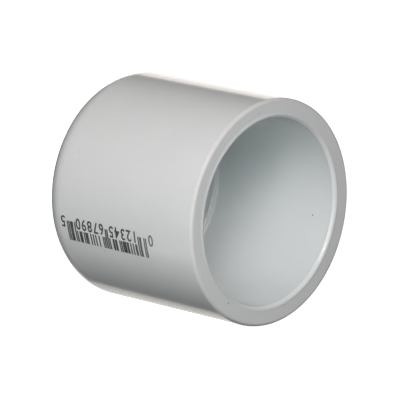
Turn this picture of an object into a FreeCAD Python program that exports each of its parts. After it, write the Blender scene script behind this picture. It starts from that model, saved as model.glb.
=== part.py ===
import FreeCAD
import Part
import Sketcher

import os

# Slip cap for the end of a 1 inch (DN 25) Schedule 40 PVC pipe. It is one
# injection moulding: a barrel closed at one end, with a socket that the pipe is
# glued into, a ledge that stops the pipe and a shallow recess behind the ledge.
# A bar code is ink-jet printed along the barrel, as a separate thin layer of ink.
# Frame: millimetres, closed end on Z = 0, mouth at the top, print facing -Y.

DIMENSIONS = {
    # moulded cap
    "outer_diameter": 40.8,
    "overall_length": 37.0,
    "socket_diameter": 33.46,
    "socket_depth": 28.4,
    "entrance_diameter": 33.66,
    "lead_in_depth": 8.0,
    "recess_diameter": 31.4,
    "recess_floor_diameter": 31.2,
    "end_wall": 4.1,
    # rounded edges, by radius
    "closed_end_round": 4.6,
    "rim_round": 0.6,
    "entry_round": 0.85,
    "ledge_round": 0.3,
    "socket_floor_round": 0.35,
    "recess_floor_round": 1.2,
    # mark left by the moulding gate in the middle of the closed end
    "gate_dimple_diameter": 6.0,
    "gate_dimple_depth": 0.5,
    "gate_stub_diameter": 1.8,
    "gate_stub_height": 0.35,
    # printed bar code
    "ink_thickness": 0.05,
    "module_width": 0.206,
    "print_foot": 6.27,
    "tall_bar_height": 3.76,
    "short_bar_height": 2.2,
}

# Left-hand symbols of the digits 0 to 9 in the common retail bar code.
# A right-hand symbol is the same with ink and gap exchanged.
LEFT_SYMBOLS = (
    "0001101", "0011001", "0010011", "0111101", "0100011",
    "0110001", "0101111", "0111011", "0110111", "0001011",
)
GUARD = "101"
CENTRE_GUARD = "01010"
PLACEHOLDER_DIGITS = "01234567890"

document = FreeCAD.newDocument("pipe_cap")


def fill_sheet():
    """Put every driving dimension in the sheet, one aliased cell each."""
    sheet = document.addObject("Spreadsheet::Sheet", "sheet")
    for row, (alias, value) in enumerate(DIMENSIONS.items(), start=1):
        sheet.set(f"A{row}", alias)
        sheet.set(f"B{row}", str(value))
        sheet.setAlias(f"B{row}", alias)
    document.recompute()
    return sheet


sheet = fill_sheet()


def origin_plane(body, role):
    """The plane of this role in the body's own origin."""
    for feature in body.Origin.OriginFeatures:
        if feature.Role == role:
            return feature
    raise LookupError(role)


def attach(feature, body, height):
    """Lay a sketch or primitive on the body's XY plane, raised to a height."""
    feature.AttachmentSupport = [(origin_plane(body, "XY_Plane"), "")]
    feature.MapMode = "FlatFace"
    feature.setExpression("AttachmentOffset.Base.z", height)


def circle_sketch(body, name, diameter, height):
    """A circle about the Z axis, with its diameter and height from the sheet."""
    sketch = body.newObject("Sketcher::SketchObject", name)
    attach(sketch, body, height)
    centre = FreeCAD.Vector(0, 0, 0)
    sketch.addGeometry(Part.Circle(centre, FreeCAD.Vector(0, 0, 1), 1), False)
    sketch.addConstraint(Sketcher.Constraint("Coincident", 0, 3, -1, 1))
    bound = sketch.addConstraint(Sketcher.Constraint("Diameter", 0, 1))
    sketch.setExpression(f"Constraints[{bound}]", diameter)
    return sketch


def extrude(body, kind, name, sketch, length, downwards=False):
    """A Pad or Pocket of a sketch; a Pocket must remove material."""
    before = body.Shape.Volume if body.Tip else 0
    feature = body.newObject(kind, name)
    feature.Profile = sketch
    feature.setExpression("Length", length)
    # a Pad goes up and a Pocket goes down unless reversed
    feature.Reversed = downwards == (kind == "PartDesign::Pad")
    document.recompute()
    change = feature.Shape.Volume - before
    if (change < 0) != (kind == "PartDesign::Pocket"):
        raise ValueError(f"{name} goes the wrong way")
    return feature


def hollow_cone(body, name, low_diameter, top_diameter, foot, height):
    """Cut a cone about the Z axis out of the body."""
    cone = body.newObject("PartDesign::SubtractiveCone", name)
    attach(cone, body, foot)
    cone.setExpression("Radius1", f"{low_diameter} / 2")
    cone.setExpression("Radius2", f"{top_diameter} / 2")
    cone.setExpression("Height", height)
    document.recompute()
    return cone


def ring_edge(shape, diameter, height):
    """Name of the circular edge of this diameter at this height."""
    for number, edge in enumerate(shape.Edges, start=1):
        ring = edge.Curve
        if not isinstance(ring, Part.Circle):
            continue
        off = abs(2 * ring.Radius - diameter) + abs(ring.Center.z - height)
        if off < 0.01:
            return f"Edge{number}"
    raise LookupError(f"no ring {diameter} wide at {height}")


def round_edge(body, name, radius, diameter, height):
    """Fillet one circular edge of the body, with the radius from the sheet."""
    base = body.Tip
    fillet = body.newObject("PartDesign::Fillet", name)
    fillet.Base = (base, [ring_edge(base.Shape, diameter, height)])
    fillet.setExpression("Radius", radius)
    document.recompute()
    return fillet


def make_cap_body():
    """The moulding: barrel, socket, pipe stop, recess, gate mark and rounded edges."""
    body = document.addObject("PartDesign::Body", "cap_body")
    body.Label = "cap_body"
    length = sheet.overall_length
    ledge = length - sheet.socket_depth

    circle = circle_sketch(body, "barrel_circle", "sheet.outer_diameter", "0")
    extrude(body, "PartDesign::Pad", "barrel", circle, "sheet.overall_length")

    circle = circle_sketch(
        body, "socket_circle", "sheet.socket_diameter", "sheet.overall_length"
    )
    extrude(
        body, "PartDesign::Pocket", "socket", circle, "sheet.socket_depth",
        downwards=True,
    )
    hollow_cone(
        body, "lead_in", "sheet.socket_diameter", "sheet.entrance_diameter",
        "sheet.overall_length - sheet.lead_in_depth", "sheet.lead_in_depth",
    )
    hollow_cone(
        body, "recess", "sheet.recess_floor_diameter", "sheet.recess_diameter",
        "sheet.end_wall",
        "sheet.overall_length - sheet.socket_depth - sheet.end_wall",
    )

    circle = circle_sketch(body, "dimple_circle", "sheet.gate_dimple_diameter", "0")
    extrude(
        body, "PartDesign::Pocket", "gate_dimple", circle, "sheet.gate_dimple_depth"
    )
    circle = circle_sketch(
        body, "stub_circle", "sheet.gate_stub_diameter", "sheet.gate_dimple_depth"
    )
    extrude(
        body, "PartDesign::Pad", "gate_stub", circle, "sheet.gate_stub_height",
        downwards=True,
    )

    rings = (
        ("closed_end_round", sheet.outer_diameter, 0),
        ("rim_round", sheet.outer_diameter, length),
        ("entry_round", sheet.entrance_diameter, length),
        ("ledge_round", sheet.recess_diameter, ledge),
        ("socket_floor_round", sheet.socket_diameter, ledge),
        ("recess_floor_round", sheet.recess_floor_diameter, sheet.end_wall),
    )
    for name, diameter, height in rings:
        round_edge(body, f"{name}_fillet", f"sheet.{name}", diameter, height)
    return body


def check_digit(digits):
    """The last digit, which brings the weighted sum to a multiple of ten."""
    weighted = sum(int(d) * (3 if i % 2 == 0 else 1) for i, d in enumerate(digits))
    return str(-weighted % 10)


def bar_runs():
    """Every bar as (first module, number of modules, whether it is a tall one)."""
    digits = PLACEHOLDER_DIGITS + check_digit(PLACEHOLDER_DIGITS)
    symbols = [LEFT_SYMBOLS[int(d)] for d in digits]
    swap = str.maketrans("01", "10")
    left = symbols[:6]
    right = [s.translate(swap) for s in symbols[6:]]
    groups = (
        [(GUARD, True), (left[0], True)]
        + [(s, False) for s in left[1:]]
        + [(CENTRE_GUARD, True)]
        + [(s, False) for s in right[:-1]]
        + [(right[-1], True), (GUARD, True)]
    )
    modules = [(ink == "1", tall) for symbol, tall in groups for ink in symbol]
    runs = []
    for place, (ink, tall) in enumerate(modules):
        if not ink:
            continue
        if runs and runs[-1][0] + runs[-1][1] == place:
            runs[-1][1] += 1
        else:
            runs.append([place, 1, tall])
    return runs, len(modules)


def barrel_cylinder(name, radius, foot, height):
    """A cylinder about the Z axis, bound to the sheet."""
    cylinder = document.addObject("Part::Cylinder", name)
    cylinder.setExpression("Radius", radius)
    cylinder.setExpression("Height", height)
    cylinder.setExpression("Placement.Base.z", foot)
    return cylinder


def make_barcode_print():
    """The ink: bars across the barrel's -Y side, read from the mouth downwards."""
    runs, modules = bar_runs()
    reach = "sheet.outer_diameter / 2 + sheet.ink_thickness"
    span = f"{modules} * sheet.module_width"
    skin = document.addObject("Part::Cut", "ink_skin")
    skin.Base = barrel_cylinder("ink_outside", reach, "sheet.print_foot", span)
    skin.Tool = barrel_cylinder(
        "ink_inside", "sheet.outer_diameter / 2", "sheet.print_foot", span
    )

    bars = []
    for number, (start, width, tall) in enumerate(runs, start=1):
        size = "sheet.tall_bar_height" if tall else "sheet.short_bar_height"
        bar = document.addObject("Part::Box", f"bar_{number}")
        bar.setExpression("Length", size)
        bar.setExpression("Width", "sheet.outer_diameter / 2")
        bar.setExpression("Height", f"{width} * sheet.module_width")
        # every bar has its edge on the same line, at +X
        bar.setExpression(
            "Placement.Base.x", f"sheet.tall_bar_height / 2 - {size}"
        )
        bar.setExpression("Placement.Base.y", f"-({reach}) - 1")
        bar.setExpression(
            "Placement.Base.z",
            f"sheet.print_foot + {modules - start - width} * sheet.module_width",
        )
        bars.append(bar)
    pattern = document.addObject("Part::Compound", "bar_pattern")
    pattern.Links = bars

    ink = document.addObject("Part::Common", "barcode_print")
    ink.Label = "barcode_print"
    ink.Base = skin
    ink.Tool = pattern
    return ink


def check_document(parts):
    """Stop on any failed object, and on a sub-part that is empty or invalid."""
    for item in document.Objects:
        if {"Invalid", "Error"} & set(item.State):
            raise RuntimeError(f"{item.Name} is {item.State}")
    for part in parts:
        if part.Shape.isNull() or not part.Shape.isValid():
            raise RuntimeError(f"{part.Label} has no valid shape")


def main():
    parts = [make_cap_body(), make_barcode_print()]
    document.recompute()
    check_document(parts)
    os.makedirs("parts", exist_ok=True)
    for part in parts:
        shape = part.Shape
        shape.exportStep(f"parts/{part.Label}.step")
        box = shape.optimalBoundingBox()
        print(
            f"{part.Label}: {len(shape.Solids)} solids, {shape.Volume:.2f} mm3, "
            f"{box.XLength:.2f} x {box.YLength:.2f} x {box.ZLength:.2f} mm"
        )


main()
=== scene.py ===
import math

import bmesh
import bpy
from mathutils import Matrix, Vector
from mathutils.noise import noise as noise_at


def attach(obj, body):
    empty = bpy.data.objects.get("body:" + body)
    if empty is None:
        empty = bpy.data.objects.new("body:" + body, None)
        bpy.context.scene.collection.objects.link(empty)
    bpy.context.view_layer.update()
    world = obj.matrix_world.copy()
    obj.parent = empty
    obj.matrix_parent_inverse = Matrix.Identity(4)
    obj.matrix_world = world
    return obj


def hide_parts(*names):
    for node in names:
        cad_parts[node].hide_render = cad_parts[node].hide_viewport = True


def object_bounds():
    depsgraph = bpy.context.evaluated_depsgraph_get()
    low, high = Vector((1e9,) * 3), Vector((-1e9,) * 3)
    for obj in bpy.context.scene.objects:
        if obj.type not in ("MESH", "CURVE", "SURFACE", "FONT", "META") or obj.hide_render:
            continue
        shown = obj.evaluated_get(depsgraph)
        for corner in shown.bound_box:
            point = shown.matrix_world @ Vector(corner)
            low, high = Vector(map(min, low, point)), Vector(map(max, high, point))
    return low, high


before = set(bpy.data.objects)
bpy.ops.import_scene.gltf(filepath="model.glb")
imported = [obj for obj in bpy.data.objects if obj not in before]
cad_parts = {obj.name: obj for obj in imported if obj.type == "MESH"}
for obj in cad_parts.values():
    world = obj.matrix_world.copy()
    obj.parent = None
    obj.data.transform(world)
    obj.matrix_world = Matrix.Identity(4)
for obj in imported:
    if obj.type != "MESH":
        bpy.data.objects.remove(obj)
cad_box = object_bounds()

# Looks of a grey PVC slip cap with an ink-jet bar code, lit by soft lights on all
# sides and by pale panels behind it. Metres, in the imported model's frame.

MILLIMETRE = 0.001
SCENE = bpy.context.scene
RIM_CENTRE = Vector((0, 0, cad_box[1].z))
OUTER_RADIUS = cad_box[1].x
MIDDLE = RIM_CENTRE / 2


def place(piece):
    """Show a new object in the scene."""
    SCENE.collection.objects.link(piece)
    return piece


# ---------------------------------------------------------------- camera


def view_axes(azimuth, elevation, roll):
    """The camera's right, up and backward directions, as the columns of a matrix."""
    a, e = math.radians(azimuth), math.radians(elevation)
    back = Vector((math.cos(a) * math.cos(e), math.sin(a) * math.cos(e), math.sin(e)))
    level = back.to_track_quat("Z", "Y").to_matrix()
    return level @ Matrix.Rotation(math.radians(roll), 3, "Z")


AXES = view_axes(azimuth=-121.850, elevation=42.021, roll=102.455)
RIGHT, UP, BACK = (AXES.col[i] for i in range(3))
SENSOR_WIDTH = 36
LENS = 375.75
# where the rim's centre stands, in the cap's outer radii: right of the picture's
# centre, a little below it, and this far from the camera
RIM_RIGHT = 0.6145
RIM_BELOW = 0.1108
RIM_AWAY = 36


def make_camera():
    data = bpy.data.cameras.new("camera")
    data.sensor_width = SENSOR_WIDTH
    data.lens = LENS
    data.clip_start, data.clip_end = 0.01, 100
    camera = place(bpy.data.objects.new("camera", data))
    offset = RIGHT * RIM_RIGHT - UP * RIM_BELOW - BACK * RIM_AWAY
    camera.location = RIM_CENTRE - offset * OUTER_RADIUS
    camera.rotation_mode = "QUATERNION"
    camera.rotation_quaternion = AXES.to_quaternion()
    SCENE.camera = camera
    return camera


make_camera()


# ---------------------------------------------------------------- node helpers


def new_material(name):
    """A node material: itself, its tree and its Principled shader."""
    material = bpy.data.materials.new(name)
    material.use_nodes = True
    tree = material.node_tree
    return material, tree, tree.nodes["Principled BSDF"]


def node(tree, kind, values, **settings):
    """Add a node, and set or link its inputs by name or number."""
    made = tree.nodes.new(kind)
    for name, value in settings.items():
        setattr(made, name, value)
    for key, value in values.items():
        connect(tree, made.inputs[key], value)
    return made


def connect(tree, socket, value):
    if isinstance(value, bpy.types.NodeSocket):
        tree.links.new(value, socket)
    else:
        socket.default_value = value


def maths(tree, operation, *values, clamp=False):
    made = node(tree, "ShaderNodeMath", dict(enumerate(values)), operation=operation)
    made.use_clamp = clamp
    return made.outputs[0]


def noise(tree, vector, scale, detail=2.0, roughness=0.5):
    values = {"Vector": vector, "Scale": scale, "Detail": detail, "Roughness": roughness}
    return node(tree, "ShaderNodeTexNoise", values).outputs["Fac"]


def ramp(tree, value, low, high, to_low=0.0, to_high=1.0):
    """Follow value smoothly from to_low, at low, to to_high, at high."""
    values = {"Value": value, 1: low, 2: high, 3: to_low, 4: to_high}
    made = node(tree, "ShaderNodeMapRange", values, interpolation_type="SMOOTHSTEP")
    return made.outputs[0]


def blend(tree, factor, first, second):
    """A colour between two, first at 0 and second at 1."""
    made = node(tree, "ShaderNodeMix", {}, data_type="RGBA")
    for index, value in ((0, factor), (6, first), (7, second)):
        connect(tree, made.inputs[index], value)
    return made.outputs[2]


def stretched(tree, vector, x, y, z):
    values = {0: vector, 1: (x, y, z)}
    return node(tree, "ShaderNodeVectorMath", values, operation="MULTIPLY").outputs[0]


def millimetres(tree):
    """The point on the object in millimetres, and its radius and height."""
    point = node(tree, "ShaderNodeTexCoord", {}).outputs["Object"]
    point = stretched(tree, point, 1000, 1000, 1000)
    flat = stretched(tree, point, 1, 1, 0)
    radius = node(tree, "ShaderNodeVectorMath", {0: flat}, operation="LENGTH")
    height = node(tree, "ShaderNodeSeparateXYZ", {0: point}).outputs["Z"]
    return point, radius.outputs["Value"], height


def bump(tree, height, depth_mm, strength, base=None):
    values = {"Height": height, "Distance": depth_mm * MILLIMETRE, "Strength": strength}
    if base is not None:
        values["Normal"] = base
    return node(tree, "ShaderNodeBump", values).outputs["Normal"]


# ---------------------------------------------------------------- PVC

PVC_COLOUR = (0.812, 0.880, 0.885, 1)
PVC_PALE = (0.838, 0.900, 0.905, 1)
PVC_SHADE = (0.782, 0.855, 0.862, 1)
# darker grey for the rim's outer edge: painted shade that dims the edge's highlight
PVC_WORN_PAINTED_SHADE = (0.710, 0.755, 0.750, 1)
# paler, bluer colour for the lip and the burr: a painted highlight along the mouth's inner
# edge
PVC_LIP_HIGHLIGHT = (0.860, 0.950, 0.945, 1)
# how strongly each of these changes the colour
CLOUD_SHARE = 0.28
STREAK_SHARE = 0.12
WORN_PAINTED_SHADE_SHARE = 0.8
LIP_HIGHLIGHT_SHARE = 0.3
BURR_HIGHLIGHT_SHARE = 0.4
SCUFF_SHARE = 0.35
GLOSS_RANGE = (0.12, 0.16)
PVC_IOR = 1.53
RIM_HEIGHT = RIM_CENTRE.z / MILLIMETRE
RIM_RADIUS = OUTER_RADIUS / MILLIMETRE
# the mould leaves a faint lip round the mouth: radius where it starts and is highest
LIP_FOOT = 17.75
LIP_TOP = 17.40
LIP_HEIGHT = 0.05
# a wider burr stands on one side of the mouth, round this angle from +X, and takes a paler
# painted highlight; towards that side it begins and is full this far from the axis
BURR_FOOT = 18.10
BURR_TOP = 17.65
BURR_HEIGHT = 0.06
BURR_ANGLE = -140
BURR_BEGINS = 6.0
BURR_FULL = 14.5
SPECK_COLOUR = (0.09, 0.09, 0.085, 1)
# specks in the resin: radius, angle from +X and height in mm, size in mm, strength
SPECKS = (
    (16.76, 62.3, 32.2, 0.30, 0.85),
    (18.05, -51.0, 37.0, 0.42, 0.40),
    (17.75, -2.1, 37.0, 0.30, 0.30),
    (18.72, 176.2, 37.0, 0.50, 0.14),
    (20.40, -85.4, 4.1, 0.50, 0.22),
    (20.40, -84.2, 5.0, 0.32, 0.15),
    (20.40, -82.3, 14.5, 0.40, 0.16),
)


def speck_mask(tree, point):
    """How much each place is darkened by a speck: the placed ones, and sparse small ones."""
    cells = node(tree, "ShaderNodeTexVoronoi", {"Vector": point, "Scale": 0.16})
    near = ramp(tree, cells.outputs["Distance"], 0.010, 0.024, 0.5, 0.0)
    pick = node(tree, "ShaderNodeSeparateColor", {0: cells.outputs["Color"]})
    chosen = ramp(tree, pick.outputs[0], 0.70, 0.95)
    mask = maths(tree, "MULTIPLY", near, chosen)
    for radius, angle, height, size, strength in SPECKS:
        a = math.radians(angle)
        centre = (radius * math.cos(a), radius * math.sin(a), height)
        values = {0: point, 1: centre}
        apart = node(tree, "ShaderNodeVectorMath", values, operation="DISTANCE")
        spot = ramp(
            tree, apart.outputs["Value"], size * 0.25, size * 0.65, strength, 0.0
        )
        mask = maths(tree, "MAXIMUM", mask, spot)
    return mask


def burr_and_highlight_mask(tree, point, radius):
    """Where the burr stands, which also takes a painted highlight: inside its foot, on its
    side of the mouth.
    """
    a = math.radians(BURR_ANGLE)
    values = {0: point, 1: (math.cos(a), math.sin(a), 0)}
    across = node(tree, "ShaderNodeVectorMath", values, operation="DOT_PRODUCT")
    side = ramp(tree, across.outputs["Value"], BURR_BEGINS, BURR_FULL)
    ring = ramp(tree, radius, BURR_TOP, BURR_FOOT, 1.0, 0.0)
    return maths(tree, "MULTIPLY", side, ring)


def scuff_mask(tree, point):
    """Fine handling scratches that run round and along the barrel, in patches."""
    patches = ramp(tree, noise(tree, point, 0.16, detail=2.0), 0.52, 0.68)
    round_ones = noise(tree, stretched(tree, point, 0.35, 0.35, 9.0), 1.1, detail=2.0)
    long_ones = noise(tree, stretched(tree, point, 5.0, 5.0, 0.30), 1.1, detail=2.0)
    lines = maths(
        tree, "MAXIMUM",
        ramp(tree, round_ones, 0.66, 0.72), ramp(tree, long_ones, 0.68, 0.74),
    )
    return maths(tree, "MULTIPLY", patches, lines)


def pvc_material():
    """Rigid PVC as moulded: satin, with faint flow streaks, scuffs and specks, painted shade
    on the rim's outer edge and a painted highlight on the lip and the burr.
    """
    material, tree, shader = new_material("pvc")
    point, radius, height = millimetres(tree)

    # colour: cloudy and streaked by the melt's flow, darker on the rim's outer edge as
    # painted shade, paler on the lip and the burr as a painted highlight, paler in the
    # scuffs, dark in the specks
    cloud = ramp(tree, noise(tree, point, 0.11, detail=3.0), 0.35, 0.65)
    along = stretched(tree, point, 1.0, 1.0, 0.12)
    flow = ramp(tree, noise(tree, along, 0.9, detail=3.0), 0.3, 0.7)
    mottle = blend(tree, CLOUD_SHARE, PVC_COLOUR, blend(tree, cloud, PVC_SHADE, PVC_PALE))
    streaked = blend(tree, flow, PVC_SHADE, PVC_PALE)
    colour = blend(tree, STREAK_SHARE, mottle, streaked)
    worn_and_shaded = maths(
        tree, "MULTIPLY",
        ramp(tree, height, RIM_HEIGHT - 0.80, RIM_HEIGHT - 0.35),
        ramp(tree, radius, RIM_RADIUS - 0.70, RIM_RADIUS - 0.35),
    )
    # painted shade: the rim's outer edge, also rougher from wear, is darkened so its
    # highlight looks dimmer
    colour = blend(tree, maths(tree, "MULTIPLY", worn_and_shaded, WORN_PAINTED_SHADE_SHARE), colour, PVC_WORN_PAINTED_SHADE)
    at_mouth = ramp(tree, height, RIM_HEIGHT - 1.0, RIM_HEIGHT - 0.6)
    lip_and_highlight = ramp(tree, radius, LIP_TOP, LIP_FOOT, 1.0, 0.0)
    lip_and_highlight = maths(tree, "MULTIPLY", lip_and_highlight, at_mouth)
    burr_and_highlight = maths(tree, "MULTIPLY", burr_and_highlight_mask(tree, point, radius), at_mouth)
    # painted highlight: the lip and the burr are made paler, most on the burr's side of the
    # mouth
    colour = blend(tree, maths(tree, "MULTIPLY", lip_and_highlight, LIP_HIGHLIGHT_SHARE), colour, PVC_LIP_HIGHLIGHT)
    colour = blend(tree, maths(tree, "MULTIPLY", burr_and_highlight, BURR_HIGHLIGHT_SHARE), colour, PVC_LIP_HIGHLIGHT)
    scuffs = scuff_mask(tree, point)
    colour = blend(tree, maths(tree, "MULTIPLY", scuffs, SCUFF_SHARE), colour, PVC_PALE)
    colour = blend(tree, speck_mask(tree, point), colour, SPECK_COLOUR)
    tree.links.new(colour, shader.inputs["Base Color"])

    # gloss: satin, duller on the worn rim and in the scuffs
    shine = ramp(tree, noise(tree, point, 0.6, detail=4.0), 0.3, 0.7, *GLOSS_RANGE)
    shine = maths(tree, "MULTIPLY_ADD", worn_and_shaded, 0.4, shine)
    shine = maths(tree, "MULTIPLY_ADD", scuffs, 0.18, shine)
    tree.links.new(shine, shader.inputs["Roughness"])
    shader.inputs["IOR"].default_value = PVC_IOR

    # relief: the lip and the burr, a soft moulded waviness, a fine grain, the scratches
    grain = noise(tree, point, 7.0, detail=2.0)
    normal = bump(tree, lip_and_highlight, LIP_HEIGHT, 1.0)
    normal = bump(tree, burr_and_highlight, BURR_HEIGHT, 1.0, normal)
    normal = bump(tree, noise(tree, point, 0.9, detail=1.0), 0.02, 0.08, normal)
    normal = bump(tree, grain, 0.003, 0.25, normal)
    normal = bump(tree, scuffs, -0.004, 0.5, normal)
    tree.links.new(normal, shader.inputs["Normal"])
    return material


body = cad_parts["cap_body"]
body.data.materials.clear()
body.data.materials.append(pvc_material())

# ---------------------------------------------------------------- printed bar code

# radii of the ink's outer face and of its foot, which is sunk just into the barrel
INK_TOP = 20.445 * MILLIMETRE
INK_FOOT = 20.385 * MILLIMETRE
# how far a bar's edge strays and spreads, and the length of its steps
INK_RAGGED = 0.022 * MILLIMETRE
INK_SPREAD = 0.025 * MILLIMETRE
INK_STEP = 0.09 * MILLIMETRE
# a digit's height, where its foot stands across the front, how narrow it is, how much
# its strokes are thickened, how finely it is drawn and into how many it is cut to bend
DIGIT_TALL = 2.15 * MILLIMETRE
DIGIT_FOOT = -2.72 * MILLIMETRE
DIGIT_WIDTH = 0.80
DIGIT_SPREAD = 0.012
DIGIT_CURVE_STEPS = 5
DIGIT_CUTS = 8
# corners of a digit that are nearer than this, in heights of its type, become one
DIGIT_MERGE = 1e-3
# placeholder digits, each with the module of the code under which it starts
DIGIT_GROUPS = (("0", -9), ("12345", 10), ("67890", 50), ("5", 96))
MODULES_IN_DIGIT = 7
MODULES_IN_CODE = 95
INK_COLOUR = (0.030, 0.031, 0.034, 1)
INK_THIN = (0.20, 0.205, 0.21, 1)
INK_IOR = 1.48
# the ink is thin near the mouth: heights in mm where it begins to thin and is thinnest
THIN_FROM = 21.0
THIN_TO = 27.5


def bar_boxes(mesh):
    """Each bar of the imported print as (lowest x, highest x, lowest z, highest z)."""
    shape = bmesh.new()
    shape.from_mesh(mesh)
    bmesh.ops.remove_doubles(shape, verts=shape.verts, dist=1e-7)
    waiting = set(shape.verts)
    boxes = []
    while waiting:
        reached = [waiting.pop()]
        for vert in reached:
            near = {edge.other_vert(vert) for edge in vert.link_edges} & waiting
            waiting -= near
            reached.extend(near)
        x = [vert.co.x for vert in reached]
        z = [vert.co.z for vert in reached]
        boxes.append((min(x), max(x), min(z), max(z)))
    shape.free()
    return sorted(boxes, key=lambda box: -box[3])


def on_barrel(across, height, radius):
    """A place in the print, by its distance across the front, height and radius."""
    turn = across / OUTER_RADIUS
    return Vector((radius * math.sin(turn), -radius * math.cos(turn), height))


def stray(across, height):
    """How far the ink's edge strays at a place, between about -1 and 1."""
    fine = Vector((across, 0, height)) / (0.14 * MILLIMETRE)
    coarse = Vector((across, 0, height)) / (0.5 * MILLIMETRE)
    return 0.7 * noise_at(fine) + 0.6 * noise_at(coarse)


def add_film(shape, rows):
    """A closed film of ink over a grid of (across, height) places."""
    top = [[shape.verts.new(on_barrel(*spot, INK_TOP)) for spot in row] for row in rows]
    foot = [[shape.verts.new(on_barrel(*spot, INK_FOOT)) for spot in row] for row in rows]
    last_row, last_column = len(rows) - 1, len(rows[0]) - 1
    for i in range(last_row):
        for j in range(last_column):
            square = ((i, j), (i + 1, j), (i + 1, j + 1), (i, j + 1))
            shape.faces.new([top[a][b] for a, b in square])
            shape.faces.new([foot[a][b] for a, b in reversed(square)])
    ring = [(i, 0) for i in range(last_row)]
    ring += [(last_row, j) for j in range(last_column)]
    ring += [(i, last_column) for i in range(last_row, 0, -1)]
    ring += [(0, j) for j in range(last_column, 0, -1)]
    for (a, b), (c, d) in zip(ring, ring[1:] + ring[:1]):
        shape.faces.new((top[a][b], foot[a][b], foot[c][d], top[c][d]))


def add_bar(shape, low_x, high_x, low_z, high_z):
    """One bar with slightly ragged edges."""
    rows = []
    steps = max(2, round((high_x - low_x) / INK_STEP))
    for i in range(steps + 1):
        across = low_x + (high_x - low_x) * i / steps
        low = low_z - INK_SPREAD + INK_RAGGED * stray(across, low_z)
        high = high_z + INK_SPREAD + INK_RAGGED * stray(across, high_z)
        if i in (0, steps):
            across += INK_RAGGED * stray(across, low_z + high_z)
        rows.append([(across, low), (across, (low + high) / 2), (across, high)])
    add_film(shape, rows)


def digit_mesh(digit):
    """One digit as a flat closed solid."""
    text = bpy.data.curves.new("digit", "FONT")
    text.body = digit
    text.extrude = 0.5
    text.offset = DIGIT_SPREAD
    text.resolution_u = DIGIT_CURVE_STEPS
    letter = bpy.data.objects.new("digit", text)
    mesh = bpy.data.meshes.new_from_object(letter)
    bpy.data.objects.remove(letter)
    bpy.data.curves.remove(text)
    return mesh


def add_digit(shape, digit, height):
    """One digit, upright towards +X, with its middle at a height on the barrel."""
    mesh = digit_mesh(digit)
    figure = bmesh.new()
    figure.from_mesh(mesh)
    bmesh.ops.remove_doubles(figure, verts=figure.verts, dist=1e-5)
    ups = [vert.co.y for vert in figure.verts]
    sides = [vert.co.x for vert in figure.verts]
    low, tall = min(ups), max(ups) - min(ups)
    middle = (min(sides) + max(sides)) / 2
    for cut in range(1, DIGIT_CUTS):
        parts = figure.verts[:] + figure.edges[:] + figure.faces[:]
        level = Vector((0, low + tall * cut / DIGIT_CUTS, 0))
        bmesh.ops.bisect_plane(figure, geom=parts, plane_co=level, plane_no=(0, 1, 0))
    bmesh.ops.remove_doubles(figure, verts=figure.verts, dist=DIGIT_MERGE)
    bmesh.ops.dissolve_degenerate(figure, edges=figure.edges, dist=DIGIT_MERGE)
    scale = DIGIT_TALL / tall
    for vert in figure.verts:
        across = DIGIT_FOOT + (vert.co.y - low) * scale
        place_z = height - (vert.co.x - middle) * scale * DIGIT_WIDTH
        radius = INK_TOP if vert.co.z > 0 else INK_FOOT
        vert.co = on_barrel(across, place_z, radius)
    figure.to_mesh(mesh)
    figure.free()
    shape.from_mesh(mesh)
    bpy.data.meshes.remove(mesh)


def make_print(bars):
    """The ink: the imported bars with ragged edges, and placeholder digits under them."""
    shape = bmesh.new()
    boxes = bar_boxes(bars.data)
    for box in boxes:
        add_bar(shape, *box)
    start = boxes[0][3]
    module = (start - boxes[-1][2]) / MODULES_IN_CODE
    for digits, first in DIGIT_GROUPS:
        for turn, digit in enumerate(digits):
            middle = first + (turn + 0.5) * MODULES_IN_DIGIT
            add_digit(shape, digit, start - middle * module)
    bmesh.ops.recalc_face_normals(shape, faces=shape.faces)
    mesh = bpy.data.meshes.new("barcode_ink")
    shape.to_mesh(mesh)
    shape.free()
    ink = place(bpy.data.objects.new("barcode_ink", mesh))
    mesh.materials.append(ink_material())
    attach(ink, "root")
    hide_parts("barcode_print")
    return ink


def ink_material():
    """Black ink-jet print, matt and uneven, thinner near the mouth."""
    material, tree, shader = new_material("print_ink")
    point, _, height = millimetres(tree)
    blotch = ramp(tree, noise(tree, point, 1.3, detail=3.0), 0.42, 0.68)
    grain = ramp(tree, noise(tree, point, 9.0, detail=2.0), 0.35, 0.75)
    faded = ramp(tree, height, THIN_FROM, THIN_TO, 0.0, 0.75)
    cover = maths(tree, "MULTIPLY_ADD", grain, 0.35, faded)
    cover = maths(tree, "MULTIPLY_ADD", blotch, 0.35, cover, clamp=True)
    tree.links.new(blend(tree, cover, INK_COLOUR, INK_THIN), shader.inputs["Base Color"])
    shine = ramp(tree, grain, 0.0, 1.0, 0.42, 0.6)
    tree.links.new(shine, shader.inputs["Roughness"])
    tree.links.new(bump(tree, grain, 0.01, 0.4), shader.inputs["Normal"])
    shader.inputs["IOR"].default_value = INK_IOR
    return material


make_print(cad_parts["barcode_print"])

# ---------------------------------------------------------------- floor and lights


FLOOR_REACH = 3.0
# just clear of the closed end, which stands on height 0
FLOOR_HEIGHT = -0.1 * MILLIMETRE


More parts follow.
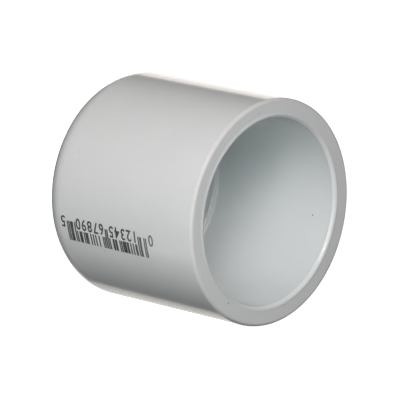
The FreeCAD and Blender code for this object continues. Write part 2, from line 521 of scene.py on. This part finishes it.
def make_floor():
    """A plain white floor, which only the camera sees: it lights nothing."""
    mesh = bpy.data.meshes.new("floor")
    s, z = FLOOR_REACH, FLOOR_HEIGHT
    corners = [(-s, -s, z), (s, -s, z), (s, s, z), (-s, s, z)]
    mesh.from_pydata(corners, [], [(0, 1, 2, 3)])
    floor = place(bpy.data.objects.new("floor", mesh))
    material, _, shader = new_material("floor")
    shader.inputs["Base Color"].default_value = (0.8, 0.8, 0.8, 1)
    shader.inputs["Roughness"].default_value = 0.9
    shader.inputs["Emission Color"].default_value = (1, 1, 1, 1)
    shader.inputs["Emission Strength"].default_value = 1.0
    mesh.materials.append(material)
    floor.visible_diffuse = False
    floor.visible_glossy = False
    floor.visible_transmission = False
    floor.visible_shadow = False
    return floor


make_floor()

WARM = (1.16, 1.0, 0.98)
SAND = (1.04, 1.0, 0.95)
WHITE = (1.0, 1.0, 1.0)
# round lights: direction from the cap in the camera's right, up and back, then
# distance, diameter, power, colour and whether it shows in reflections
LIGHTS = {
    "key_right": ((0.21, 0.31, 0.93), 1.2, 0.36, 2.5, WARM),
    "key_high": ((0.05, 0.45, 0.89), 1.2, 0.36, 2.4, WARM),
    "left_high": ((-0.60, 0.60, 0.53), 1.2, 0.55, 1.3, WARM),
    "left_front": ((-0.50, -0.40, 0.77), 1.2, 0.60, 0.65, WARM),
    "left_low": ((-0.79, -0.61, 0.0), 1.2, 0.55, 1.2, SAND),
    "below": ((-0.62, -0.78, -0.10), 1.2, 0.55, 0.9, WHITE),
    "above": ((0.0, 0.95, -0.30), 1.2, 0.70, 1.1, SAND),
    "behind": ((0.50, -0.10, -0.86), 1.2, 1.00, 6.5, WHITE, False),
    "near_left": ((-0.18, 0.10, 0.98), 0.28, 0.11, 0.16, WHITE),
    "near_high": ((0.10, 0.30, 0.95), 0.28, 0.11, 0.12, WHITE),
    "near_low": ((0.04, -0.19, 0.98), 0.28, 0.11, 0.08, WHITE),
}


def soft_light(name, direction, distance, size, power, colour, shines=True):
    """A round soft light that faces the cap from a direction in the camera's axes."""
    data = bpy.data.lights.new(name, "AREA")
    data.shape = "DISK"
    data.size = size
    data.energy = power
    data.color = colour
    light = place(bpy.data.objects.new(name, data))
    away = (AXES @ Vector(direction)).normalized()
    light.location = MIDDLE + away * distance
    light.rotation_mode = "QUATERNION"
    light.rotation_quaternion = away.to_track_quat("Z", "Y")
    light.visible_camera = False
    light.visible_glossy = shines
    return light


for light_name, settings in LIGHTS.items():
    soft_light(light_name, *settings)

# white panels behind the cap, which show as bright strips along its long edges: their
# left, right, bottom and top as shares of the distance behind it, and their radiance
PANELS = {
    "panel_top": (-0.25, 0.25, 0.10, 0.58, 1.5),
    "panel_low": (-0.45, 0.15, -0.54, -0.10, 0.95),
}
PANEL_DISTANCE = 0.5


def back_panel(name, left, right, bottom, top, radiance):
    """A flat rectangular light behind the cap that faces the camera."""
    data = bpy.data.lights.new(name, "AREA")
    data.shape = "RECTANGLE"
    data.size = (right - left) * PANEL_DISTANCE
    data.size_y = (top - bottom) * PANEL_DISTANCE
    data.energy = radiance * math.pi * data.size * data.size_y
    data.color = SAND
    panel = place(bpy.data.objects.new(name, data))
    middle = RIGHT * (left + right) / 2 + UP * (bottom + top) / 2 - BACK
    panel.location = MIDDLE + middle * PANEL_DISTANCE
    panel.rotation_mode = "QUATERNION"
    facing = Matrix((RIGHT, -UP, -BACK)).transposed()
    panel.rotation_quaternion = facing.to_quaternion()
    panel.visible_camera = False
    return panel


for panel_name, settings in PANELS.items():
    back_panel(panel_name, *settings)


def make_world():
    """White all round for the camera, and no light from it."""
    world = bpy.data.worlds.new("studio")
    SCENE.world = world
    world.use_nodes = True
    background = world.node_tree.nodes["Background"]
    background.inputs["Color"].default_value = (1, 1, 1, 1)
    background.inputs["Strength"].default_value = 1.0
    world.cycles_visibility.diffuse = False
    world.cycles_visibility.glossy = False
    world.cycles_visibility.transmission = False


make_world()
SCENE.view_settings.view_transform = "Standard"
